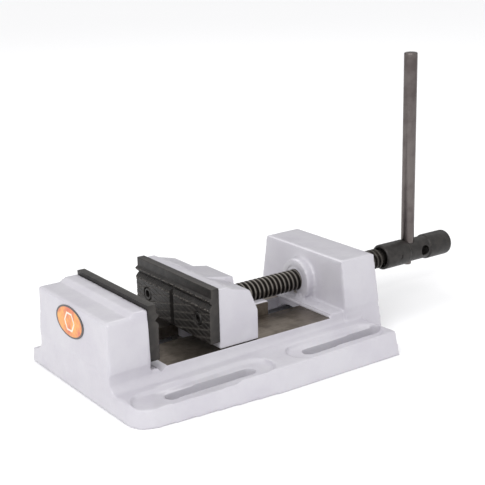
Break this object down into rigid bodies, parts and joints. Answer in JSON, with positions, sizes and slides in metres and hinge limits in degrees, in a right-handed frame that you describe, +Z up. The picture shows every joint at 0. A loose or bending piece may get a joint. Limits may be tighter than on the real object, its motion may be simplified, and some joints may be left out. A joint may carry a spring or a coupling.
{
  "type": "drill press vise",
  "caption": "Low-profile machine vise: cast body with a slotted flange, serrated jaw plates, screw-driven sliding jaw and a lift-out tommy bar.",
  "frame": {"origin": "middle of the footprint's bounding box, on the underside plane that rests on the table", "axes": "+X from the fixed jaw to the handle, along the screw; +Y towards the narrow flange; +Z up"},
  "size_m": [0.3586, 0.1618, 0.2049],
  "materials": {
    "grey_enamel": "light grey gloss enamel over rough cast iron; machined ways bare",
    "black_oxide_steel": "black oxide, satin",
    "bright_steel": "ground steel",
    "brown_bar_steel": "drawn bar with a brown heat tint, semi-gloss",
    "label_film": "printed film, plain amber oval"
  },
  "bodies": {
    "root": {"body_casting": "grey_enamel", "fixed_jaw_plate": "black_oxide_steel", "fixed_jaw_screw_near": "black_oxide_steel", "fixed_jaw_screw_far": "black_oxide_steel", "screw_nut": "grey_enamel", "nut_key_screw": "bright_steel", "name_label": "label_film"},
    "movable_jaw": {"movable_jaw_casting": "grey_enamel", "movable_jaw_plate": "black_oxide_steel", "movable_jaw_screw_near": "black_oxide_steel", "movable_jaw_screw_far": "black_oxide_steel", "keeper_plate": "bright_steel", "keeper_bolt_front": "black_oxide_steel", "keeper_bolt_rear": "black_oxide_steel", "keeper_washer_front": "black_oxide_steel", "keeper_washer_rear": "black_oxide_steel", "thrust_disc": "bright_steel", "retaining_pin_near": "bright_steel", "retaining_pin_far": "bright_steel"},
    "screw": {"lead_screw": "black_oxide_steel", "handle_head": "black_oxide_steel", "head_pin": "black_oxide_steel"},
    "bar": {"tommy_bar": "brown_bar_steel"}
  },
  "joints": [
    {"name": "jaw_slide", "type": "slide", "parent": "root", "child": "movable_jaw", "axis": [1, 0, 0], "range_m": [-0.039, 0.029]},
    {"name": "screw_turn", "type": "hinge", "parent": "movable_jaw", "child": "screw", "pos_m": [0.1071, 0.0141, 0.0389], "axis": [1, 0, 0], "range_deg": [-3510, 2610]},
    {"name": "bar_lift", "type": "slide", "parent": "screw", "child": "bar", "axis": [0, 0, 1], "range_m": [0, 0.026]}
  ],
  "couplings": [
    {"joint": "screw_turn", "follows": "jaw_slide", "rad_per_m": 1570.8}
  ]
}
